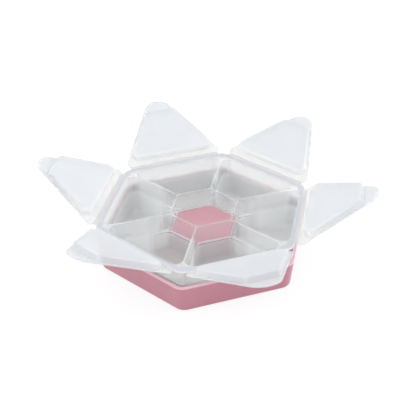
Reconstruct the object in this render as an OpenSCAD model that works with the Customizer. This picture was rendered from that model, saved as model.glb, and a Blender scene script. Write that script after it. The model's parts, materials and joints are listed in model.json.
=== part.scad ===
// Six-flap hexagonal snack container: a soft base sleeve, a clear tray that lifts out of it,
// and a flap over each compartment, joined to the rim by a living hinge.
// Origin at the centre of the underside, +Z up, two corners of the hexagon on the Y axis.
// Sizes are in millimetres. "Flat" sizes run from the centre to a flat side of the hexagon.

/* [Tray] */
// Distance across the rim, from flat to flat
rim_across = 164.6; // [150:0.1:180]
// Height of the rim above the table
rim_height = 41; // [38:0.5:50]
// Width of the rim's flat band, from its outer edge to the compartments
rim_band = 4.4; // [3:0.1:7]
// Thickness of the rim
rim_thickness = 1.8; // [1.2:0.1:3]
// Radius of the rim's corners, seen from above
rim_corner = 10; // [6:0.5:14]
// Thickness of the tray's outer wall
tray_wall = 1.5; // [1:0.1:2.2]
// Thickness of the tray's floor
tray_floor = 1.5; // [1:0.1:2.5]
// Lean of the tray's outer wall, in degrees
tray_draft = 3.4; // [1:0.1:4]
// Thickness of a divider at its top edge
divider_top = 1.6; // [1:0.1:2.4]
// Lean of each face of a divider, in degrees
divider_draft = 0.8; // [0.4:0.1:1.4]

/* [Compartments] */
// Radius of a compartment's corners at the outer wall
outer_corner = 7; // [4:0.5:10]
// Radius of a compartment's corners at the centre well
inner_corner = 5; // [3:0.5:8]
// Radius between a compartment's floor and its walls
floor_radius = 4; // [2:0.5:6]

/* [Centre well] */
// Distance across the centre well's top edge, from flat to flat outside
well_across = 54; // [44:0.5:58]
// Depth of the centre well
well_depth = 15.8; // [10:0.1:24]
// Thickness of the centre well's wall and floor
well_wall = 1.5; // [1:0.1:2.2]
// Lean of the centre well's outer wall, in degrees
well_draft = 2; // [1:0.1:3]
// Radius of the centre well's corners, seen from above
well_corner = 3.5; // [2:0.5:6]

/* [Base sleeve] */
// Height of the sleeve's top edge
sleeve_height = 25.3; // [18:0.1:34]
// Thickness of the sleeve's wall and floor
sleeve_wall = 2.4; // [1.8:0.1:4]
// Space between the sleeve and the tray's wall, at the tray's foot
sleeve_foot_gap = 0.5; // [0.3:0.1:2]
// Space between the sleeve and the tray's wall, at the sleeve's lip
sleeve_lip_gap = 1.9; // [0.5:0.1:4]
// Radius of the sleeve's bottom edge
sleeve_foot_radius = 2.5; // [1:0.1:4]
// Radius of the sleeve's lip
lip_radius = 0.8; // [0.4:0.1:0.8]

/* [Flaps] */
// Thickness of a flap's plate
flap_thickness = 1.3; // [1:0.1:2]
// Radius of a flap's tip
tip_radius = 14.2; // [8:0.1:16]
// Radius of a flap's corners at the hinge
flap_corner = 4; // [2:0.5:6]
// Gap between two closed flaps
flap_gap = 1; // [0.6:0.1:2]
// Depth of the plug under a flap
plug_depth = 5.5; // [3:0.1:8]
// Thickness of the plug's shell
plug_wall = 1.2; // [0.8:0.1:1.6]
// Clearance between a plug and its compartment
plug_clearance = 1; // [0.7:0.1:1.6]
// Lean of the plug's sides, in degrees
plug_draft = 5; // [3:0.5:8]
// Radius of the plug's lower edge
plug_edge = 1.6; // [0.8:0.1:2.4]

/* [Hinges] */
// Distance from the rim's edge to the hinge axis
hinge_reach = 1.1; // [1:0.05:1.6]
// Radius of the hinge's bead
bead_radius = 0.9; // [0.6:0.05:0.9]
// Thickness of the thin strip between the bead and the flap
strip_thickness = 0.6; // [0.4:0.05:1]
// Opening angle of each flap, counted from closed
open_right = 153.5; // [0:0.5:180]
open_back_right = 156.5; // [0:0.5:180]
open_back_left = 150.5; // [0:0.5:180]
open_left = 152; // [0:0.5:180]
open_front_left = 154.5; // [0:0.5:180]
open_front_right = 159.5; // [0:0.5:180]

/* [Clearances] */
// Clearance where the tray rests in the sleeve and where a flap rests on the rim
seat_gap = 0.1; // [0.05:0.05:0.3]
// Clearance between the sleeve's raised centre and the tray
centre_gap = 0.4; // [0.2:0.1:0.8]

/* [Hidden] */

pink = [0.84, 0.62, 0.68];
milky = [0.89, 0.91, 0.93, 0.6];
sides = 6;
sector = 360 / sides;
half_sector = sector / 2;
right_angle = 90;
corner_steps = 6;
edge_steps = 4;
overrun = 1;
root_height = 0.6;

rim_flat = rim_across / 2;
opening_flat = rim_flat - rim_band;
tray_foot_z = sleeve_wall + seat_gap;
floor_z = tray_foot_z + tray_floor;
well_flat = well_across / 2;
well_floor_z = rim_height - well_depth;
well_under_z = well_floor_z - well_wall;
centre_top_z = well_under_z - seat_gap;
tray_corner = rim_corner - rim_band + tray_wall;
sleeve_corner = tray_corner + sleeve_foot_gap + sleeve_wall;
hinge_flat = rim_flat + hinge_reach;
hinge_z = rim_height + seat_gap;
bead_length = 2 * (rim_flat - rim_corner) * tan(half_sector);

// ---- Outlines and lofts ----

function unit(v) = v / norm(v);

// The arc that rounds corner b of a convex outline with neighbours a and c
function corner_arc(a, b, c, r) =
    let (to_a = unit(a - b), to_c = unit(c - b),
         half = acos(to_a * to_c) / 2,
         centre = b + unit(to_a + to_c) * r / sin(half),
         start = b + to_a * r / tan(half) - centre,
         first = atan2(start.y, start.x),
         turn = 2 * (right_angle - half))
    [for (i = [0:corner_steps])
        centre + r * [cos(first + turn * i / corner_steps), sin(first + turn * i / corner_steps)]];

// A convex outline, counter-clockwise, with a radius at each corner
function rounded(corners, radii) =
    let (n = len(corners))
    [for (i = [0:n - 1])
        each corner_arc(corners[(i + n - 1) % n], corners[i], corners[(i + 1) % n], radii[i])];

// A hexagon given by its flat size, with rounded corners
function hexagon(flat, r) =
    rounded([for (k = [0:sides - 1])
        flat / cos(half_sector) * [cos(half_sector + sector * k), sin(half_sector + sector * k)]],
        [for (k = [0:sides - 1]) r]);

// An outline lifted to a height
function ring(outline, z) = [for (p = outline) [p.x, p.y, z]];

// Steps round a quarter turn that rounds an edge: [inset, rise]
function quarter(r) =
    [for (i = [0:edge_steps]) let (t = right_angle * i / edge_steps) [r * (1 - sin(t)), r * (1 - cos(t))]];

// A solid through a stack of outlines that have the same number of points
module loft(rings) {
    n = len(rings[0]);
    m = len(rings);
    foot = [for (j = [0:n - 1]) j];
    head = [for (j = [n - 1:-1:0]) (m - 1) * n + j];
    sides = [for (i = [0:m - 2], j = [0:n - 1])
        [i * n + j, (i + 1) * n + j, (i + 1) * n + (j + 1) % n, i * n + (j + 1) % n]];
    polyhedron([for (r = rings) each r], concat([foot, head], sides));
}

// ---- Tray ----

// Sizes of the tray at a height, from its lean
function inner_flat(z) = opening_flat - (rim_height - z) * tan(tray_draft);
function outer_flat(z) = inner_flat(z) + tray_wall;
function well_outer(z) = well_flat + (rim_height - z) * tan(well_draft);
function divider_half(z) = divider_top / 2 + (rim_height - z) * tan(divider_draft);

// Outline of the compartment on the +X side at a height, drawn in by an inset
function compartment(z, inset, outer_r, inner_r) =
    let (x_out = inner_flat(z) - inset, x_in = well_outer(z) + inset,
         side = (divider_half(z) + inset) / cos(half_sector),
         y_out = x_out * tan(half_sector) - side,
         y_in = x_in * tan(half_sector) - side)
    rounded([[x_in, -y_in], [x_out, -y_out], [x_out, y_out], [x_in, y_in]],
        [inner_r, outer_r, outer_r, inner_r]);

module compartment_space() {
    loft(concat(
        [for (q = quarter(floor_radius))
            ring(compartment(floor_z + q[1], q[0], outer_corner, inner_corner), floor_z + q[1])],
        [ring(compartment(rim_height + overrun, 0, outer_corner, inner_corner),
            rim_height + overrun)]));
}

// The outside of the tray: a leaning bowl with the rim's band round its top
module tray_outside() {
    loft(concat(
        [for (q = quarter(floor_radius))
            ring(hexagon(outer_flat(tray_foot_z + q[1]) - q[0], tray_corner), tray_foot_z + q[1])],
        [ring(hexagon(outer_flat(rim_height - rim_thickness / 2), tray_corner),
            rim_height - rim_thickness / 2)]));
    translate([0, 0, rim_height - rim_thickness])
        linear_extrude(rim_thickness)
            polygon(hexagon(rim_flat, rim_corner));
}

// The centre well, open at the top
module well_space() {
    well_in = well_wall + well_depth * tan(well_draft);
    loft([ring(hexagon(well_flat - well_in, well_corner), well_floor_z),
        ring(hexagon(well_flat - well_wall + overrun * tan(well_draft), well_corner),
            rim_height + overrun)]);
}

// The pocket under the centre well, which the sleeve's raised centre fills
module centre_pocket() {
    loft([ring(hexagon(well_outer(tray_foot_z - overrun) - well_wall, well_corner),
            tray_foot_z - overrun),
        ring(hexagon(well_outer(well_under_z) - well_wall, well_corner), well_under_z)]);
}

// Flat sizes and height at which the dividers end: their roots stay with the bowl and the well
bowl_cut = inner_flat(floor_z) - outer_corner;
well_cut = well_outer(floor_z) + inner_corner / 2;
root_z = floor_z + root_height;

module tray_block(flat, low, high) {
    translate([0, 0, low])
        linear_extrude(high - low)
            polygon(hexagon(flat, outer_corner));
}

module compartments() {
    for (k = [0:sides - 1])
        rotate(sector * k) compartment_space();
}

module tray_bowl() {
    color(milky)
        difference() {
            tray_outside();
            compartments();
            tray_block(bowl_cut, root_z, rim_height + overrun);
            tray_block(well_cut, -overrun, rim_height + overrun);
        }
}

module centre_well() {
    color(milky)
        difference() {
            tray_block(well_cut, tray_foot_z, rim_height);
            compartments();
            well_space();
            centre_pocket();
        }
}

// The divider towards the corner at a given angle, between the two compartments beside it
module divider(angle) {
    width = 2 * outer_corner;
    color(milky)
        rotate(angle)
            difference() {
                intersection() {
                    rotate(half_sector) tray_block(bowl_cut, root_z, rim_height);
                    translate([0, -width / 2, root_z])
                        cube([rim_flat, width, rim_height - root_z]);
                }
                rotate(half_sector)
                    tray_block(well_cut, root_z - overrun, rim_height + overrun);
                rotate(half_sector) compartment_space();
                rotate(-half_sector) compartment_space();
            }
}

module divider_back_right() { divider(half_sector); }
module divider_back() { divider(half_sector + sector); }
module divider_back_left() { divider(half_sector + 2 * sector); }
module divider_front_left() { divider(half_sector + 3 * sector); }
module divider_front() { divider(half_sector + 4 * sector); }
module divider_front_right() { divider(half_sector + 5 * sector); }

// ---- Base sleeve ----

// Flat sizes of the sleeve's outside beside the tray's foot and at its lip
sleeve_low = outer_flat(tray_foot_z) + sleeve_foot_gap + sleeve_wall;
sleeve_high = outer_flat(sleeve_height) + sleeve_lip_gap + sleeve_wall;
sleeve_lean = (sleeve_high - sleeve_low) / (sleeve_height - tray_foot_z);

function sleeve_flat(z) = sleeve_low + (z - tray_foot_z) * sleeve_lean;
function centre_flat(z) = well_outer(z) - well_wall - centre_gap;

module sleeve_outside() {
    loft(concat(
        [for (q = quarter(sleeve_foot_radius))
            ring(hexagon(sleeve_flat(q[1]) - q[0], sleeve_corner - q[0]), q[1])],
        [for (i = [edge_steps:-1:0])
            let (q = quarter(lip_radius)[i], z = sleeve_height - q[1])
            ring(hexagon(sleeve_flat(z) - q[0], sleeve_corner - q[0]), z)]));
}

module sleeve_inside() {
    inner_corner_r = sleeve_corner - sleeve_wall;
    foot_r = sleeve_foot_radius;
    loft(concat(
        [for (q = quarter(foot_r))
            let (z = sleeve_wall + q[1])
            ring(hexagon(sleeve_flat(z) - sleeve_wall - q[0], inner_corner_r), z)],
        [for (i = [edge_steps:-1:0])
            let (q = quarter(lip_radius)[i], z = sleeve_height - q[1])
            ring(hexagon(sleeve_flat(z) - sleeve_wall + q[0], inner_corner_r + q[0]), z)],
        [ring(hexagon(sleeve_flat(sleeve_height) - sleeve_wall + lip_radius,
            inner_corner_r + lip_radius), sleeve_height + overrun)]));
}

// The raised centre that carries the floor of the well
module raised_centre() {
    loft([ring(hexagon(centre_flat(sleeve_wall / 2), well_corner), sleeve_wall / 2),
        ring(hexagon(centre_flat(centre_top_z), well_corner), centre_top_z)]);
}

module centre_hollow() {
    top = centre_top_z - sleeve_wall;
    loft([ring(hexagon(centre_flat(-overrun) - sleeve_wall, well_corner), -overrun),
        ring(hexagon(centre_flat(top) - sleeve_wall, well_corner), top)]);
}

module base_sleeve() {
    color(pink)
        difference() {
            union() {
                difference() {
                    sleeve_outside();
                    sleeve_inside();
                }
                raised_centre();
            }
            centre_hollow();
        }
}

// ---- Flaps, drawn closed over the +X compartment ----

// The plate: a triangle whose sides run half the gap inside the sector's edges
module flap_plate() {
    side = flap_gap / 2 / cos(half_sector);
    apex = flap_gap / 2 / sin(half_sector);
    y = rim_flat * tan(half_sector) - side;
    translate([0, 0, hinge_z])
        linear_extrude(flap_thickness)
            polygon(rounded([[apex, 0], [rim_flat, -y], [rim_flat, y]],
                [tip_radius, flap_corner, flap_corner]));
}

// Inset of the plug's side at a depth below the plate
function plug_inset(depth) = plug_clearance + depth * tan(plug_draft);

// The plug's outline at the rim's height with a given inset
function plug_outline(inset) =
    compartment(rim_height, inset, outer_corner - plug_clearance, inner_corner - plug_clearance);

// The plug's form, rounded along its lower edge, drawn in by a wall
module plug_form(wall, top_z) {
    deep = plug_depth - wall;
    edge = plug_edge;
    loft(concat(
        [for (q = quarter(edge))
            let (depth = deep - q[1])
            ring(plug_outline(plug_inset(depth) + q[0] + wall), hinge_z - depth)],
        [ring(plug_outline(plug_inset(0) + wall), top_z)]));
}

module flap() {
    color(milky)
        difference() {
            union() {
                flap_plate();
                plug_form(0, hinge_z + flap_thickness / 2);
            }
            plug_form(plug_wall, hinge_z + flap_thickness + overrun);
        }
}

// The hinge: a round bead on the axis with a thin strip out to the flap's edge
module hinge() {
    color(milky)
        union() {
            translate([hinge_flat, bead_length / 2, hinge_z])
                rotate([right_angle, 0, 0])
                    cylinder(h = bead_length, r = bead_radius, $fn = 24);
            translate([rim_flat, -bead_length / 2, hinge_z])
                cube([hinge_reach, bead_length, strip_thickness]);
        }
}

// Turns a closed flap or hinge open about its axis, then round to its side of the hexagon
module on_side(angle, opened) {
    rotate(angle)
        translate([hinge_flat, 0, hinge_z])
            rotate([0, opened, 0])
                translate([-hinge_flat, 0, -hinge_z])
                    children();
}

module flap_right() { on_side(0, open_right) flap(); }
module flap_back_right() { on_side(sector, open_back_right) flap(); }
module flap_back_left() { on_side(2 * sector, open_back_left) flap(); }
module flap_left() { on_side(3 * sector, open_left) flap(); }
module flap_front_left() { on_side(4 * sector, open_front_left) flap(); }
module flap_front_right() { on_side(5 * sector, open_front_right) flap(); }

module hinge_right() { on_side(0, open_right) hinge(); }
module hinge_back_right() { on_side(sector, open_back_right) hinge(); }
module hinge_back_left() { on_side(2 * sector, open_back_left) hinge(); }
module hinge_left() { on_side(3 * sector, open_left) hinge(); }
module hinge_front_left() { on_side(4 * sector, open_front_left) hinge(); }
module hinge_front_right() { on_side(5 * sector, open_front_right) hinge(); }

base_sleeve();
tray_bowl();
centre_well();
divider_front();
divider_front_right();
divider_back_right();
divider_back();
divider_back_left();
divider_front_left();
hinge_right();
hinge_back_right();
hinge_back_left();
hinge_left();
hinge_front_left();
hinge_front_right();
flap_right();
flap_back_right();
flap_back_left();
flap_left();
flap_front_left();
flap_front_right();
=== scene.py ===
"""Hexagonal snack container: a milky tray with six hinged flaps, standing in a pink sleeve.

Lengths are in metres. The row frame has its origin at the centre of the underside, +Z up.
"Flat" sizes run from the centre to a flat side of the hexagon.
"""

import json
import math

import bmesh
import bpy
from mathutils import Matrix, Vector
from mathutils.geometry import tessellate_polygon


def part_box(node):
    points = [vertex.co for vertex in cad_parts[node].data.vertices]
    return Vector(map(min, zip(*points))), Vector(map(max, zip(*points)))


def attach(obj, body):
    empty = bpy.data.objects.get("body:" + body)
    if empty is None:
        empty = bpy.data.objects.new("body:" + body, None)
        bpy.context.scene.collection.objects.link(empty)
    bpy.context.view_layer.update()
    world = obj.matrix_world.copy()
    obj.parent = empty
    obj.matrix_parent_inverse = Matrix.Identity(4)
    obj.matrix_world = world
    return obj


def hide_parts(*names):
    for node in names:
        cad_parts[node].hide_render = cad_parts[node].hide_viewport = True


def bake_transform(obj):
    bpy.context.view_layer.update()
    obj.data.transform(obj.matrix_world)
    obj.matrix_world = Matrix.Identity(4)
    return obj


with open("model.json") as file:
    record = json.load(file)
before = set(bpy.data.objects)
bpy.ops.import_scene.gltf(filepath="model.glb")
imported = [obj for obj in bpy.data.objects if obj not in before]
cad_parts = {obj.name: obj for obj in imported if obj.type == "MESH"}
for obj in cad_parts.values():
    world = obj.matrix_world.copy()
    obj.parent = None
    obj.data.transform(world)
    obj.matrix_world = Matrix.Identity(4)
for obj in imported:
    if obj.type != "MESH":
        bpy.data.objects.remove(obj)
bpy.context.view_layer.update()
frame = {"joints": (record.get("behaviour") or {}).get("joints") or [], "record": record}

# ---- The photograph's camera ----

PHOTO_SIDE = 416  # pixels
FOCAL_PIXELS = 864.93
SENSOR = 36.0  # millimetres
CAMERA_TURN = math.radians(11.69)
CAMERA_ELEVATION = math.radians(33.05)
CAMERA_ROLL = math.radians(-1.08)
CAMERA_DISTANCE = 0.8098
LOOKED_AT = Vector((0.00369, 0.06048, 0))  # before the turn about Z
CLIP_START, CLIP_END = 0.05, 20

# ---- Sizes of the tray ----

TRAY_LOW, TRAY_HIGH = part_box("tray_bowl")
RIM_Z = TRAY_HIGH.z
FOOT_Z = TRAY_LOW.z
RIM_FLAT = TRAY_HIGH.x
RIM_BAND = 0.0044
RIM_THICKNESS = 0.0018
RIM_CORNER = 0.010
WALL = 0.0015
FLOOR_THICKNESS = 0.0015
TRAY_DRAFT = math.tan(math.radians(3.4))
DIVIDER_TOP = 0.0016
DIVIDER_DRAFT = math.tan(math.radians(0.8))
OUTER_CORNER = 0.007
INNER_CORNER = 0.005
FLOOR_RADIUS = 0.004
RIM_EDGE = 0.0006
RIM_LOWER_EDGE = 0.0003
WALL_EDGE = 0.00055
RIM_UNDER_RADIUS = 0.0008
RIM_LINE = 0.0010  # width of the band along the rim's edge that has its own plastic, with a painted shade

WELL_FLAT = 0.027
WELL_DEPTH = 0.0158
WELL_DRAFT = math.tan(math.radians(2))
WELL_CORNER = 0.0035
WELL_FLOOR_RADIUS = 0.0010

# ---- Sizes of the sleeve ----

LIP_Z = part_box("base_sleeve")[1].z
SLEEVE_WALL = 0.0024
LIP_WALL = 0.0031  # thicker, so that the gap beside the tray looks as narrow as in the photo
SLEEVE_FOOT_GAP = 0.0005
SLEEVE_LIP_GAP = 0.0019
SLEEVE_FOOT_RADIUS = 0.0025
LIP_RADIUS = 0.0008
CENTRE_GAP = 0.0004
SEAT_GAP = 0.0001
CENTRE_EDGE = 0.0008

# ---- Sizes of the flaps and hinges ----

FLAP_THICKNESS = 0.0013
FLAP_GAP = 0.001
TIP_RADIUS = 0.0142
FLAP_CORNER = 0.004
FLAP_EDGE = 0.00045
PLUG_DEPTH = 0.0055
PLUG_WALL = 0.0012
PLUG_CLEARANCE = 0.001
PLUG_DRAFT = math.tan(math.radians(5))
PLUG_EDGE = 0.0016
PLUG_ROOT = 0.0004
PLUG_FLOOR_REACH = 0.001  # level faces up to here above the plug's floor have its own plastic
HINGE_THICKNESS = 0.0005

SIDES = 6
SECTOR = 2 * math.pi / SIDES
HALF_SECTOR = SECTOR / 2
TAN_HALF = math.tan(HALF_SECTOR)
COS_HALF = math.cos(HALF_SECTOR)
SIN_HALF = math.sin(HALF_SECTOR)
CORNER_STEPS = 14
EDGE_STEPS = 6
STRIP_STEPS = 10
LEVEL = 0.95  # a face is level where its normal rises or falls more than this

FLOOR_Z = FOOT_Z + FLOOR_THICKNESS
OPENING_FLAT = RIM_FLAT - RIM_BAND
TRAY_CORNER = RIM_CORNER - RIM_BAND + WALL
WELL_FLOOR_Z = RIM_Z - WELL_DEPTH
WELL_UNDER_Z = WELL_FLOOR_Z - WALL
CENTRE_TOP_Z = WELL_UNDER_Z - SEAT_GAP
SLEEVE_CORNER = TRAY_CORNER + SLEEVE_FOOT_GAP + SLEEVE_WALL

# ---- Colours of the plastics, some of them painted highlights, painted shades and painted light ----

PINK_DARK = (0.63, 0.258, 0.332)
PINK_LIGHT = (0.66, 0.276, 0.352)
# Painted highlight: the top of the sleeve's lip is painted lighter.
PINK_LIP_PAINTED_HIGHLIGHT = (1.0, 0.66, 0.74)
TRAY_HAZE = (0.95, 0.975, 0.995)
# Painted shade: the rim's top and the band along its outer edge are painted darker than the tray.
RIM_PAINTED_SHADE_HAZE = (0.645, 0.665, 0.705)
RIM_EDGE_PAINTED_SHADE_HAZE = (0.81, 0.83, 0.87)
PLUG_HAZE = (0.80, 0.842, 0.888)
FLAP_HAZE = (0.81, 0.85, 0.895)
# Painted light: the flap is painted whiter near the hinge, against the shade there.
FLAP_FOOT_PAINTED_LIGHT = (0.98, 1, 1)
HINGE_HAZE = (0.93, 0.95, 0.97)

# ---- How much the milky plastic covers what is behind it, from 0 to 1 ----

WELL_COVER = 0.08
WELL_TOP_COVER = 0.26
WALL_COVER = 0.42
WALL_TOP_COVER = 0.5
WALL_OUTSIDE_COVER = 0.4
BESIDE_SLEEVE_COVER = 0.85
UNDER_FLOOR_COVER = 0.5
# Painted highlight: a milkier band where the well's floor meets its wall stands in for a line of
# light.
WELL_JOINT_HIGHLIGHT_COVER = 0.6
RIM_COVER = 0.94
EDGE_COVER = 0.85
FLAP_COVER = 0.66
FLAP_FOOT_COVER = 0.48

# ---- Where a plastic, or a painted highlight or shade on it, changes, from the first height or flat size to the second ----

LIP_HIGHLIGHT_FADE = LIP_Z - 0.0016, LIP_Z - 0.0006
TOP_FADE = RIM_Z - 0.0012, RIM_Z - 0.0004
RIM_FADE = OPENING_FLAT - 0.004, OPENING_FLAT - 0.001
OUTSIDE_FADE = OPENING_FLAT + 0.0008, OPENING_FLAT + 0.0014
OUTWARD_FADE = WELL_FLAT + 0.005, WELL_FLAT + 0.018
SLEEVE_FADE = LIP_Z + 0.003, LIP_Z - 0.001
UNDER_FLOOR_FADE = WELL_UNDER_Z, WELL_UNDER_Z - 0.002
JOINT_LOW_FADE = WELL_UNDER_Z - 0.0008, WELL_UNDER_Z
JOINT_HIGH_FADE = WELL_FLOOR_Z + 0.0008, WELL_FLOOR_Z
WELL_FLOOR_FADE = WELL_FLOOR_Z + 0.0012, WELL_FLOOR_Z + 0.0006
WELL_WALL_FADE = WELL_FLAT - WALL, WELL_FLAT - WALL - 0.001
FLAP_FOOT_FADE = RIM_FLAT + 0.004, RIM_FLAT + 0.030

# ---- Stage ----

FLOOR_REACH = 4  # from the middle to each side
PAPER_GREY = 0.80  # the floor as it lights the container
SEEN_PAPER_GREY = 0.24  # the floor as the camera sees it, dark enough to keep its shadow faint
SEEN_PAPER_GLOW = 0.82
WORLD_LIGHT = 0.87


# ---- Outlines ----


def corner_arc(a, b, c, radius):
    """The points of the arc that rounds corner b between its neighbours a and c."""
    to_a, to_c = (a - b).normalized(), (c - b).normalized()
    half = to_a.angle(to_c) / 2
    centre = b + (to_a + to_c).normalized() * radius / math.sin(half)
    start = b + to_a * radius / math.tan(half) - centre
    first = math.atan2(start.y, start.x)
    turn = math.pi - 2 * half
    angles = [first + turn * i / CORNER_STEPS for i in range(CORNER_STEPS + 1)]
    return [centre + radius * Vector((math.cos(t), math.sin(t))) for t in angles]


def rounded(corners, radii):
    """A convex outline, counter-clockwise, with a radius at each corner."""
    count = len(corners)
    points = []
    for i in range(count):
        before, after = corners[i - 1], corners[(i + 1) % count]
        points += corner_arc(before, corners[i], after, radii[i])
    return points


def hexagon(flat, radius):
    """A hexagon with flat sides towards +X and -X and rounded corners."""
    reach = flat / COS_HALF
    angles = [HALF_SECTOR + k * SECTOR for k in range(SIDES)]
    corners = [reach * Vector((math.cos(t), math.sin(t))) for t in angles]
    return rounded(corners, [radius] * SIDES)


def inner_flat(z):
    """The inside of the tray's outer wall at a height."""
    return OPENING_FLAT - (RIM_Z - z) * TRAY_DRAFT


def outer_flat(z):
    return inner_flat(z) + WALL


def well_outer(z):
    """The outside of the well's wall at a height."""
    return WELL_FLAT + (RIM_Z - z) * WELL_DRAFT


def well_inner(z):
    return WELL_FLAT - WALL - (RIM_Z - z) * WELL_DRAFT


def compartment(z, inset, outer_radius=OUTER_CORNER, inner_radius=INNER_CORNER):
    """Outline of the compartment on the +X side at a height, drawn in by an inset."""
    half_divider = DIVIDER_TOP / 2 + (RIM_Z - z) * DIVIDER_DRAFT
    side = (half_divider + inset) / COS_HALF
    x_out = inner_flat(z) - inset
    x_in = well_outer(z) + inset
    y_out = x_out * TAN_HALF - side
    y_in = x_in * TAN_HALF - side
    corners = [(x_in, -y_in), (x_out, -y_out), (x_out, y_out), (x_in, y_in)]
    radii = [inner_radius, outer_radius, outer_radius, inner_radius]
    return rounded([Vector(c) for c in corners], radii)


def turned(outline, angle):
    """An outline turned about the origin."""
    c, s = math.cos(angle), math.sin(angle)
    return [Vector((c * p.x - s * p.y, s * p.x + c * p.y)) for p in outline]


# ---- Profiles: lists of (outline, height) that a surface runs through ----


def quarter(radius):
    """Steps round a quarter turn from flat to upright: (inset, rise)."""
    angles = [math.pi / 2 * i / EDGE_STEPS for i in range(EDGE_STEPS + 1)]
    return [(radius * (1 - math.sin(t)), radius * (1 - math.cos(t))) for t in angles]


def mouth_profile(outline_at, z_top, radius):
    """A hollow's rounded mouth, from its wall up to the flat top round it."""
    return [(outline_at(grown), z_top - fall) for grown, fall in quarter(radius)[::-1]]


# ---- Surfaces ----


class Shell:
    """A closed surface that is put together from rings of points."""

    def __init__(self):
        self.bm = bmesh.new()

    def join(self, loops):
        """Joins loops of points with quads and returns the first and the last ring."""
        rings = [[self.bm.verts.new(point) for point in loop] for loop in loops]
        for low, high in zip(rings, rings[1:]):
            for i in range(len(low)):
                j = (i + 1) % len(low)
                self.bm.faces.new((low[i], low[j], high[j], high[i]))
        return rings[0], rings[-1]

    def loft(self, profile):
        """Joins the outlines of a profile and returns the first and the last ring."""
        return self.join([[(p.x, p.y, z) for p in outline] for outline, z in profile])

    def fill(self, outer, holes=()):
        """Closes a flat ring, round any holes in it."""
        loops = [outer, *holes]
        points = [v for loop in loops for v in loop]
        for triangle in tessellate_polygon([[v.co for v in loop] for loop in loops]):
            self.bm.faces.new([points[i] for i in triangle])

    def paint(self, chosen):
        """Gives the piece's second material to the faces made so far that are chosen."""
        for face in self.bm.faces:
            face.normal_update()
            if chosen(face.calc_center_median(), face.normal):
                face.material_index = 1

    def piece(self, name, materials, matrix=None):
        """Makes the finished object, smooth, with normals that keep the flats flat."""
        if matrix:
            bmesh.ops.transform(self.bm, matrix=matrix, verts=self.bm.verts)
        bmesh.ops.recalc_face_normals(self.bm, faces=self.bm.faces)
        for face in self.bm.faces:
            face.smooth = True
        mesh = bpy.data.meshes.new(name)
        self.bm.to_mesh(mesh)
        self.bm.free()
        for material in materials:
            mesh.materials.append(material)
        made = bpy.data.objects.new(name, mesh)
        bpy.context.scene.collection.objects.link(made)
        made.modifiers.new("flats", "WEIGHTED_NORMAL").keep_sharp = True
        return made


# ---- Materials ----

NOISE_LOW, NOISE_HIGH = 0.3, 0.7  # nearly all of a noise lies between these
CLOUD_ROUGHNESS = 0.6
GRAIN_DETAIL, GRAIN_ROUGHNESS, GRAIN_DEPTH = 2, 0.5, 0.0001
COLOUR_A, COLOUR_B, COLOUR_RESULT = 6, 7, 2  # places of a Mix node's colour sockets


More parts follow.
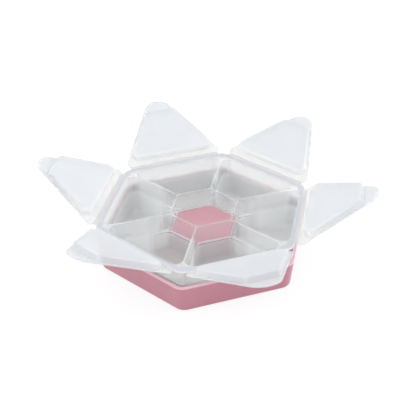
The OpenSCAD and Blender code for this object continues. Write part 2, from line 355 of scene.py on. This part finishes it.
class Nodes:
    """A short way to write a node tree."""

    def __init__(self, name):
        self.material = bpy.data.materials.new(name)
        self.material.use_nodes = True
        self.tree = self.material.node_tree
        self.shader = self.tree.nodes["Principled BSDF"]
        coordinates = self.tree.nodes.new("ShaderNodeTexCoord")
        self.place = coordinates.outputs["Object"]

    def link(self, source, target):
        self.tree.links.new(source, target)

    def feed(self, name, source):
        """Links a value to a socket of the shader."""
        self.link(source, self.shader.inputs[name])

    def set(self, **values):
        """Sets constants on the shader's sockets, named with _ for a space."""
        for name, value in values.items():
            self.shader.inputs[name.replace("_", " ")].default_value = value

    def noise(self, scale, detail, roughness):
        node = self.tree.nodes.new("ShaderNodeTexNoise")
        node.inputs["Scale"].default_value = scale
        node.inputs["Detail"].default_value = detail
        node.inputs["Roughness"].default_value = roughness
        self.link(self.place, node.inputs["Vector"])
        return node.outputs["Fac"]

    def remap(self, value, low, high, new_low=0, new_high=1):
        """The new low at low, the new high at high, and a straight ramp between them."""
        node = self.tree.nodes.new("ShaderNodeMapRange")
        ends = {"From Min": low, "From Max": high, "To Min": new_low, "To Max": new_high}
        for name, number in ends.items():
            node.inputs[name].default_value = number
        self.link(value, node.inputs["Value"])
        return node.outputs["Result"]

    def mix(self, factor, first, second):
        """Mixes two colours, each a socket or three numbers."""
        node = self.tree.nodes.new("ShaderNodeMix")
        node.data_type = "RGBA"
        for place, colour in ((COLOUR_A, first), (COLOUR_B, second)):
            if isinstance(colour, tuple):
                node.inputs[place].default_value = (*colour, 1)
            else:
                self.link(colour, node.inputs[place])
        self.link(factor, node.inputs["Factor"])
        return node.outputs[COLOUR_RESULT]

    def blend(self, factor, first, second):
        """The first value where the factor is 0, and the second where it is 1."""
        node = self.tree.nodes.new("ShaderNodeMix")
        for name, value in (("Factor", factor), ("A", first), ("B", second)):
            if isinstance(value, (int, float)):
                node.inputs[name].default_value = value
            else:
                self.link(value, node.inputs[name])
        return node.outputs["Result"]

    def math(self, operation, first, second=None):
        """A Math node on one or two values, each a socket or a number."""
        node = self.tree.nodes.new("ShaderNodeMath")
        node.operation = operation
        for socket, value in zip(node.inputs, (first, second)):
            if isinstance(value, (int, float)):
                socket.default_value = value
            elif value:
                self.link(value, socket)
        return node.outputs["Value"]

    def times(self, first, second):
        return self.math("MULTIPLY", first, second)

    def most(self, greatest, *others):
        """The greatest of some values."""
        for other in others:
            greatest = self.math("MAXIMUM", greatest, other)
        return greatest

    def axis(self, letter):
        """How far a point lies along X, Y or Z."""
        node = self.tree.nodes.new("ShaderNodeSeparateXYZ")
        self.link(self.place, node.inputs["Vector"])
        return node.outputs[letter]

    def length_across(self):
        """The flat size of the hexagon whose side runs through a point."""
        along_x = self.axis("X")
        half = self.times(along_x, math.cos(SECTOR))
        lean = self.times(self.axis("Y"), math.sin(SECTOR))
        plus = self.math("ABSOLUTE", self.math("ADD", half, lean))
        minus = self.math("ABSOLUTE", self.math("SUBTRACT", half, lean))
        return self.most(plus, minus, self.math("ABSOLUTE", along_x))

    def cloud(self, scale, detail):
        """Large soft patches, from 0 to 1."""
        return self.remap(self.noise(scale, detail, CLOUD_ROUGHNESS), NOISE_LOW, NOISE_HIGH)

    def grain(self, scale, smoothest, roughest, strength):
        """A fine grain in the gloss and in the surface."""
        noise = self.noise(scale, GRAIN_DETAIL, GRAIN_ROUGHNESS)
        self.feed("Roughness", self.remap(noise, NOISE_LOW, NOISE_HIGH, smoothest, roughest))
        node = self.tree.nodes.new("ShaderNodeBump")
        node.inputs["Strength"].default_value = strength
        node.inputs["Distance"].default_value = GRAIN_DEPTH
        self.link(noise, node.inputs["Height"])
        self.feed("Normal", node.outputs["Normal"])


def pink_plastic():
    """Satin moulded plastic with a fine grain, and a painted highlight that lightens the thin lip."""
    nodes = Nodes("pink_satin_plastic")
    colour = nodes.mix(nodes.cloud(scale=38, detail=4), PINK_DARK, PINK_LIGHT)
    lip_highlight = nodes.remap(nodes.axis("Z"), *LIP_HIGHLIGHT_FADE)
    nodes.feed("Base Color", nodes.mix(lip_highlight, colour, PINK_LIP_PAINTED_HIGHLIGHT))
    nodes.grain(scale=2600, smoothest=0.28, roughest=0.36, strength=0.12)
    nodes.set(Specular_IOR_Level=0.5, Sheen_Weight=0.3, Sheen_Roughness=0.3)
    return nodes.material


def milky_plastic(name):
    """Plastic that scatters light. The caller gives its colour and its cover."""
    nodes = Nodes(name)
    nodes.grain(scale=1900, smoothest=0.33, roughest=0.43, strength=0.05)
    nodes.set(Subsurface_Weight=1, Subsurface_Scale=0.003, Subsurface_Radius=(1, 1, 1))
    nodes.set(IOR=1.45, Specular_IOR_Level=0.4)
    return nodes


def swirl(nodes, haze):
    """A haze with faint lighter swirls, as moulded milky plastic has."""
    lighten = 1.025
    lighter = tuple(min(1, c * lighten) for c in haze)
    return nodes.mix(nodes.cloud(scale=55, detail=5), haze, lighter)


def plain_milky(name, haze, cover):
    """Milky plastic that covers the same everywhere."""
    nodes = milky_plastic(name)
    nodes.feed("Base Color", swirl(nodes, haze))
    nodes.set(Alpha=cover)
    return nodes.material


def flap_plastic():
    """Milky plastic that is clearer near the hinge, with a painted light that whitens it there."""
    nodes = milky_plastic("milky_flap_plastic")
    away = nodes.remap(nodes.length_across(), *FLAP_FOOT_FADE)
    nodes.feed("Base Color", nodes.mix(away, FLAP_FOOT_PAINTED_LIGHT, swirl(nodes, FLAP_HAZE)))
    nodes.feed("Alpha", nodes.blend(away, FLAP_FOOT_COVER, FLAP_COVER))
    return nodes.material


def outer_wall_cover(nodes, across, z):
    """More on the outside of the tray's leaning outer wall than on its inside."""
    leaning = nodes.times(nodes.math("SUBTRACT", RIM_Z, z), TRAY_DRAFT)
    across_at_rim = nodes.math("ADD", across, leaning)
    return nodes.remap(across_at_rim, *OUTSIDE_FADE, 0, WALL_OUTSIDE_COVER)


def well_joint_highlight_cover(nodes, z):
    """A milkier band on the well's wall where its floor meets it, a painted highlight for the line of
    light along the floor's edge.
    """
    above = nodes.remap(z, *JOINT_LOW_FADE)
    below = nodes.remap(z, *JOINT_HIGH_FADE)
    return nodes.times(nodes.times(above, below), WELL_JOINT_HIGHLIGHT_COVER)


def tray_plastic():
    """Nearly clear round the pink centre, milkier outwards and on top edges, dense on the rim, whose
    darker colour is a painted shade.
    """
    nodes = milky_plastic("milky_tray_plastic")
    across = nodes.length_across()
    z = nodes.axis("Z")
    on_top = nodes.remap(z, *TOP_FADE)
    on_rim = nodes.times(nodes.remap(across, *RIM_FADE), on_top)
    nodes.feed("Base Color", nodes.mix(on_rim, swirl(nodes, TRAY_HAZE), RIM_PAINTED_SHADE_HAZE))

    outwards = nodes.remap(across, *OUTWARD_FADE)
    wall_cover = nodes.remap(z, *SLEEVE_FADE, WALL_COVER, BESIDE_SLEEVE_COVER)
    side_cover = nodes.blend(outwards, WELL_COVER, wall_cover)
    top_cover = nodes.times(on_top, nodes.blend(outwards, WELL_TOP_COVER, WALL_TOP_COVER))
    cover = nodes.most(side_cover, outer_wall_cover(nodes, across, z), top_cover)
    cover = nodes.blend(on_rim, cover, RIM_COVER)
    under_floor = nodes.times(nodes.remap(z, *UNDER_FLOOR_FADE), UNDER_FLOOR_COVER)
    cover = nodes.most(cover, under_floor, well_joint_highlight_cover(nodes, z))
    in_well = nodes.remap(across, *WELL_WALL_FADE)
    on_well_floor = nodes.times(in_well, nodes.remap(z, *WELL_FLOOR_FADE))
    nodes.feed("Alpha", nodes.blend(on_well_floor, cover, WELL_COVER))
    return nodes.material


PINK = pink_plastic()
TRAY_MILKY = tray_plastic()
RIM_EDGE_SHADE_MILKY = plain_milky("milky_rim_edge_painted_shade", RIM_EDGE_PAINTED_SHADE_HAZE, EDGE_COVER)
FLAP_MILKY = flap_plastic()
PLUG_MILKY = plain_milky("milky_plug_plastic", PLUG_HAZE, FLAP_COVER)
HINGE_MILKY = plain_milky("milky_hinge_plastic", HINGE_HAZE, EDGE_COVER)


# ---- The tray: one moulding for the bowl, the well and the dividers ----


def tray_outside_profile():
    """From the foot up the wall, out under the rim and round its edge to the top."""
    profile = []
    for inset, rise in quarter(FLOOR_RADIUS):
        z = FOOT_Z + rise
        profile.append((hexagon(outer_flat(z) - inset, TRAY_CORNER), z))
    under_z = RIM_Z - RIM_THICKNESS
    wall_flat = outer_flat(under_z)
    for grown, fall in quarter(RIM_UNDER_RADIUS)[::-1]:
        profile.append((hexagon(wall_flat + grown, TRAY_CORNER + grown), under_z - fall))
    for inset, rise in quarter(RIM_LOWER_EDGE):
        profile.append((hexagon(RIM_FLAT - inset, RIM_CORNER - inset), under_z + rise))
    for inset, fall in quarter(RIM_EDGE)[::-1]:
        profile.append((hexagon(RIM_FLAT - inset, RIM_CORNER - inset), RIM_Z - fall))
    profile.append((hexagon(RIM_FLAT - RIM_LINE, RIM_CORNER - RIM_LINE), RIM_Z))
    return profile


def compartment_profile(angle):
    """From the floor up to the mouth of the compartment at an angle."""
    profile = []
    for inset, rise in quarter(FLOOR_RADIUS):
        z = FLOOR_Z + rise
        profile.append((turned(compartment(z, inset), angle), z))

    def mouth(grown):
        line = compartment(RIM_Z, -grown, OUTER_CORNER + grown, INNER_CORNER + grown)
        return turned(line, angle)

    return profile + mouth_profile(mouth, RIM_Z, WALL_EDGE)


def well_profile():
    """From the floor up to the mouth of the well."""
    profile = []
    for inset, rise in quarter(WELL_FLOOR_RADIUS):
        z = WELL_FLOOR_Z + rise
        profile.append((hexagon(well_inner(z) - inset, WELL_CORNER), z))

    def mouth(grown):
        return hexagon(WELL_FLAT - WALL + grown, WELL_CORNER + grown)

    return profile + mouth_profile(mouth, RIM_Z, WALL_EDGE)


def pocket_profile():
    """The hollow under the well, which the sleeve's centre fills."""
    return [(hexagon(well_outer(z) - WALL, WELL_CORNER), z) for z in (FOOT_Z, WELL_UNDER_Z)]


def make_tray():
    """The whole tray without its flaps, as one piece."""
    shell = Shell()
    foot, rim = shell.loft(tray_outside_profile())
    # The rim's rounded outer edge takes the second plastic, whose colour is a painted shade.
    shell.paint(lambda middle, normal: middle.z > RIM_Z - RIM_EDGE)
    pocket_mouth, pocket_top = shell.loft(pocket_profile())
    shell.fill(foot, [pocket_mouth])
    shell.fill(pocket_top)
    mouths = []
    for k in range(SIDES):
        floor, mouth = shell.loft(compartment_profile(k * SECTOR))
        shell.fill(floor)
        mouths.append(mouth)
    floor, mouth = shell.loft(well_profile())
    shell.fill(floor)
    shell.fill(rim, [*mouths, mouth])
    tray = shell.piece("tray_moulding", [TRAY_MILKY, RIM_EDGE_SHADE_MILKY])
    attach(tray, "tray")
    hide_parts(*frame["record"]["behaviour"]["bodies"]["tray"])


# ---- The sleeve ----


def sleeve_flat(z):
    """The outside of the sleeve at a height: its gap to the tray widens towards the lip."""
    low = outer_flat(FOOT_Z) + SLEEVE_FOOT_GAP + SLEEVE_WALL
    high = outer_flat(LIP_Z) + SLEEVE_LIP_GAP + SLEEVE_WALL
    return low + (z - FOOT_Z) * (high - low) / (LIP_Z - FOOT_Z)


def centre_flat(z):
    """The outside of the raised centre at a height."""
    return well_outer(z) - WALL - CENTRE_GAP


def sleeve_profile():
    """From the foot up the outside, over the lip and down the inside to the floor."""
    profile = []
    for inset, rise in quarter(SLEEVE_FOOT_RADIUS):
        profile.append((hexagon(sleeve_flat(rise) - inset, SLEEVE_CORNER - inset), rise))
    for inset, fall in quarter(LIP_RADIUS)[::-1]:
        z = LIP_Z - fall
        profile.append((hexagon(sleeve_flat(z) - inset, SLEEVE_CORNER - inset), z))
    for inset, fall in quarter(LIP_RADIUS):
        z = LIP_Z - fall
        wall = LIP_WALL - inset
        profile.append((hexagon(sleeve_flat(z) - wall, SLEEVE_CORNER - wall), z))
    for inset, rise in quarter(SLEEVE_FOOT_RADIUS)[::-1]:
        z = SLEEVE_WALL + rise
        flat = sleeve_flat(z) - SLEEVE_WALL - inset
        profile.append((hexagon(flat, SLEEVE_CORNER - SLEEVE_WALL), z))
    return profile


def centre_profile():
    """From the sleeve's floor up to the top of the raised centre."""
    profile = [(hexagon(centre_flat(SLEEVE_WALL), WELL_CORNER), SLEEVE_WALL)]
    for inset, fall in quarter(CENTRE_EDGE)[::-1]:
        z = CENTRE_TOP_Z - fall
        profile.append((hexagon(centre_flat(z) - inset, WELL_CORNER - inset), z))
    return profile


def centre_hollow_profile():
    """The hollow under the raised centre, open below."""
    heights = 0, CENTRE_TOP_Z - SLEEVE_WALL
    return [(hexagon(centre_flat(z) - SLEEVE_WALL, WELL_CORNER), z) for z in heights]


def make_sleeve():
    """The pink sleeve with the raised centre that carries the well."""
    shell = Shell()
    foot, floor = shell.loft(sleeve_profile())
    centre_foot, centre_top = shell.loft(centre_profile())
    shell.fill(floor, [centre_foot])
    shell.fill(centre_top)
    hollow_mouth, hollow_top = shell.loft(centre_hollow_profile())
    shell.fill(foot, [hollow_mouth])
    shell.fill(hollow_top)
    sleeve = shell.piece("sleeve", [PINK])
    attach(sleeve, "base")
    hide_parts("base_sleeve")


# ---- The flaps, drawn closed over +X, then turned to their place ----


def plate_outline(inset):
    """A rounded triangle over one side of the tray, drawn in by an inset."""
    gap = FLAP_GAP / 2 + inset
    x_out = RIM_FLAT - inset
    y_out = x_out * TAN_HALF - gap / COS_HALF
    corners = [Vector((gap / SIN_HALF, 0)), Vector((x_out, -y_out)), Vector((x_out, y_out))]
    return rounded(corners, [TIP_RADIUS - inset, FLAP_CORNER - inset, FLAP_CORNER - inset])


def plug_outline(inset):
    """The outline of a compartment's mouth, drawn in by an inset."""
    outer_radius = OUTER_CORNER - PLUG_CLEARANCE
    inner_radius = INNER_CORNER - PLUG_CLEARANCE
    return compartment(RIM_Z, inset, outer_radius, inner_radius)


def plug_inset(depth):
    """How far the plug's outside is drawn in at a depth below the plate."""
    return PLUG_CLEARANCE + depth * PLUG_DRAFT


def plate_profile(plate_z):
    """The plate's edge, from its underside to its top."""
    top_z = plate_z + FLAP_THICKNESS
    profile = [(plate_outline(inset), plate_z + rise) for inset, rise in quarter(FLAP_EDGE)]
    profile += [(plate_outline(inset), top_z - fall) for inset, fall in quarter(FLAP_EDGE)[::-1]]
    return profile


def plug_bottom_profile(plate_z, wall):
    """The rounded bottom of the plug, or of its hollow inside a wall."""
    profile = []
    for inset, rise in quarter(PLUG_EDGE):
        depth = PLUG_DEPTH - wall - rise
        profile.append((plug_outline(plug_inset(depth) + inset + wall), plate_z - depth))
    return profile


def plug_profile(plate_z):
    """The plug's outside, from its bottom up to its root under the plate."""
    profile = plug_bottom_profile(plate_z, 0)
    for grown, fall in quarter(PLUG_ROOT)[::-1]:
        profile.append((plug_outline(plug_inset(0) - grown), plate_z - fall))
    return profile


def plug_hollow_profile(plate_z):
    """The plug's hollow, from its bottom up to its mouth in the plate's top."""

    def mouth(grown):
        return plug_outline(plug_inset(0) + PLUG_WALL - grown)

    bottom = plug_bottom_profile(plate_z, PLUG_WALL)
    return bottom + mouth_profile(mouth, plate_z + FLAP_THICKNESS, PLUG_ROOT)


def read_hinge(joint):
    """A hinge's place, its turn about Z, how far its flap stands open, and the flap's body."""
    hinge_at = Vector(joint["pos_m"])
    angle = math.atan2(hinge_at.y, hinge_at.x)
    opened = math.radians(joint["range_deg"][1])
    return hinge_at, angle, opened, joint["child"]


def make_flap(joint):
    """A flap with its hollow plug, turned open as far as the photo shows."""
    hinge_at, angle, opened, body = read_hinge(joint)
    plate_z = hinge_at.z
    shell = Shell()
    under_rim, top_rim = shell.loft(plate_profile(plate_z))
    plug_bottom, plug_root = shell.loft(plug_profile(plate_z))
    shell.fill(plug_bottom)
    shell.fill(under_rim, [plug_root])
    hollow_bottom, hollow_mouth = shell.loft(plug_hollow_profile(plate_z))
    shell.fill(hollow_bottom)
    shell.fill(top_rim, [hollow_mouth])
    plug_z = plate_z - PLUG_DEPTH + PLUG_WALL + PLUG_FLOOR_REACH
    # The plate and the plug's side walls take the flap plastic with its painted light near the hinge;
    # the plug's floor keeps the plug plastic.
    shell.paint(lambda middle, normal: abs(normal.z) < LEVEL or middle.z > plug_z)

    to_axis = Matrix.Translation((hinge_at.xy.length, 0, plate_z))
    turn = Matrix.Rotation(opened, 4, "Y")
    placed = Matrix.Rotation(angle, 4, "Z") @ to_axis @ turn @ to_axis.inverted()
    side = body.removesuffix("_flap")
    flap = shell.piece(f"{side}_flap_moulding", [PLUG_MILKY, FLAP_MILKY], placed)
    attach(flap, body)
    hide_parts(f"flap_{side}")


def strip_loops(reach, opened):
    """Cross-sections of the strip from the rim's edge to the flap's, round the hinge's axis."""
    half_length = (RIM_FLAT - RIM_CORNER) * TAN_HALF
    rim_end = Vector((-reach, -HINGE_THICKNESS))
    flap_end = Vector((
        -reach * math.cos(opened) + HINGE_THICKNESS * math.sin(opened),
        reach * math.sin(opened) + HINGE_THICKNESS * math.cos(opened)))
    sag = Vector((0, -HINGE_THICKNESS / 2))
    loops = []
    for i in range(STRIP_STEPS + 1):
        t = i / STRIP_STEPS
        middle = rim_end * (1 - t) ** 2 + 2 * sag * t * (1 - t) + flap_end * t ** 2
        slope = (2 * (1 - t) * (sag - rim_end) + 2 * t * (flap_end - sag)).normalized()
        across = Vector((-slope.y, slope.x)) * HINGE_THICKNESS / 2
        low, high = middle - across, middle + across
        corners = (low, -half_length), (low, half_length), (high, half_length), (high, -half_length)
        loops.append([(p.x, y, p.y) for p, y in corners])
    return loops


def make_hinge(joint):
    """The thin strip that bends between the rim's edge and the flap's edge."""
    hinge_at, angle, opened, body = read_hinge(joint)
    hinge_flat = hinge_at.xy.length
    reach = hinge_flat - RIM_FLAT
    shell = Shell()
    for end in shell.join(strip_loops(reach, opened)):
        shell.bm.faces.new(end)
    placed = Matrix.Rotation(angle, 4, "Z") @ Matrix.Translation((hinge_flat, 0, hinge_at.z))
    side = body.removesuffix("_flap")
    hinge = shell.piece(f"{side}_living_hinge", [HINGE_MILKY], placed)
    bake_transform(hinge)
    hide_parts(f"hinge_{side}")


# ---- Stage, lamps and camera ----


def grey_shader(tree, kind, grey, strength=None):
    """A shader node of an even grey, which glows where it has a strength."""
    node = tree.nodes.new(kind)
    node.inputs["Color"].default_value = (grey, grey, grey, 1)
    if strength:
        node.inputs["Strength"].default_value = strength
    return node


def seen_by_eye(tree):
    """1 for camera, glossy and transmission rays, so that gloss and clear walls show the white."""
    path = tree.nodes.new("ShaderNodeLightPath")
    seen = path.outputs["Is Camera Ray"]
    for kind in ("Is Glossy Ray", "Is Transmission Ray"):
        either = tree.nodes.new("ShaderNodeMath")
        either.operation = "MAXIMUM"
        tree.links.new(seen, either.inputs[0])
        tree.links.new(path.outputs[kind], either.inputs[1])
        seen = either.outputs[0]
    return seen


def show_by_eye(tree, output, unseen, seen):
    """Gives the output one shader for the light on the container and another for the eye."""
    chosen = tree.nodes.new("ShaderNodeMixShader")
    for socket, source in zip(chosen.inputs, (seen_by_eye(tree), unseen, seen)):
        tree.links.new(source, socket)
    tree.links.new(chosen.outputs[0], output.inputs["Surface"])


def floor_paper():
    """White paper whose seen side keeps only a faint shadow."""
    material = bpy.data.materials.new("floor_paper")
    material.use_nodes = True
    tree = material.node_tree
    tree.nodes.clear()
    output = tree.nodes.new("ShaderNodeOutputMaterial")
    paper = grey_shader(tree, "ShaderNodeBsdfDiffuse", PAPER_GREY)
    seen_paper = grey_shader(tree, "ShaderNodeBsdfDiffuse", SEEN_PAPER_GREY)
    glow = grey_shader(tree, "ShaderNodeEmission", 1, SEEN_PAPER_GLOW)
    seen = tree.nodes.new("ShaderNodeAddShader")
    tree.links.new(seen_paper.outputs[0], seen.inputs[0])
    tree.links.new(glow.outputs[0], seen.inputs[1])
    show_by_eye(tree, output, paper.outputs[0], seen.outputs[0])
    return material


def make_floor():
    """A wide sheet of paper under the container."""
    mesh = bpy.data.meshes.new("floor")
    corners = [(x * FLOOR_REACH, y * FLOOR_REACH, 0) for x, y in ((-1, -1), (1, -1), (1, 1), (-1, 1))]
    mesh.from_pydata(corners, [], [(0, 1, 2, 3)])
    mesh.materials.append(floor_paper())
    floor = bpy.data.objects.new("floor", mesh)
    bpy.context.scene.collection.objects.link(floor)


def make_world():
    """An even light from all round, with a white background for the eye."""
    world = bpy.data.worlds.new("studio")
    bpy.context.scene.world = world
    world.use_nodes = True
    tree = world.node_tree
    tree.nodes.clear()
    output = tree.nodes.new("ShaderNodeOutputWorld")
    light = grey_shader(tree, "ShaderNodeBackground", 1, WORLD_LIGHT)
    white = grey_shader(tree, "ShaderNodeBackground", 1, 1)
    show_by_eye(tree, output, light.outputs[0], white.outputs[0])


def make_lamp(name, place, size, watts):
    """A round lamp that faces the middle of the container's underside."""
    lamp = bpy.data.lights.new(name, "AREA")
    lamp.shape = "DISK"
    lamp.size = size
    lamp.energy = watts
    holder = bpy.data.objects.new(name, lamp)
    holder.location = place
    holder.rotation_euler = (-Vector(place)).to_track_quat("-Z", "Y").to_euler()
    bpy.context.scene.collection.objects.link(holder)


def make_camera():
    """The photograph's camera, as fitted to the edges of the container in it."""
    data = bpy.data.cameras.new("photo_camera")
    data.sensor_width = SENSOR
    data.lens = FOCAL_PIXELS / PHOTO_SIDE * SENSOR
    data.clip_start, data.clip_end = CLIP_START, CLIP_END
    c, s = math.cos(CAMERA_ELEVATION), math.sin(CAMERA_ELEVATION)
    ahead, up, right = Vector((0, c, -s)), Vector((0, s, c)), Vector((1, 0, 0))
    cr, sr = math.cos(CAMERA_ROLL), math.sin(CAMERA_ROLL)
    axes = Matrix((right * cr + up * sr, up * cr - right * sr, -ahead)).transposed()
    turn = Matrix.Rotation(CAMERA_TURN, 3, "Z")
    camera = bpy.data.objects.new("photo_camera", data)
    place = turn @ (LOOKED_AT - ahead * CAMERA_DISTANCE)
    camera.matrix_world = Matrix.Translation(place) @ (turn @ axes).to_4x4()
    bpy.context.scene.collection.objects.link(camera)
    bpy.context.scene.camera = camera


make_camera()
make_world()
make_floor()
make_lamp("key", place=(-0.35, -0.1, 1.4), size=1.1, watts=2)
make_lamp("fill", place=(-0.9, -0.6, 0.9), size=0.8, watts=1)
make_lamp("side", place=(0.85, 0.45, 0.3), size=0.6, watts=2.4)
make_sleeve()
make_tray()
for hinge_joint in frame["joints"]:
    if hinge_joint["type"] == "hinge":
        make_flap(hinge_joint)
        make_hinge(hinge_joint)

bpy.context.scene.view_settings.view_transform = "Standard"
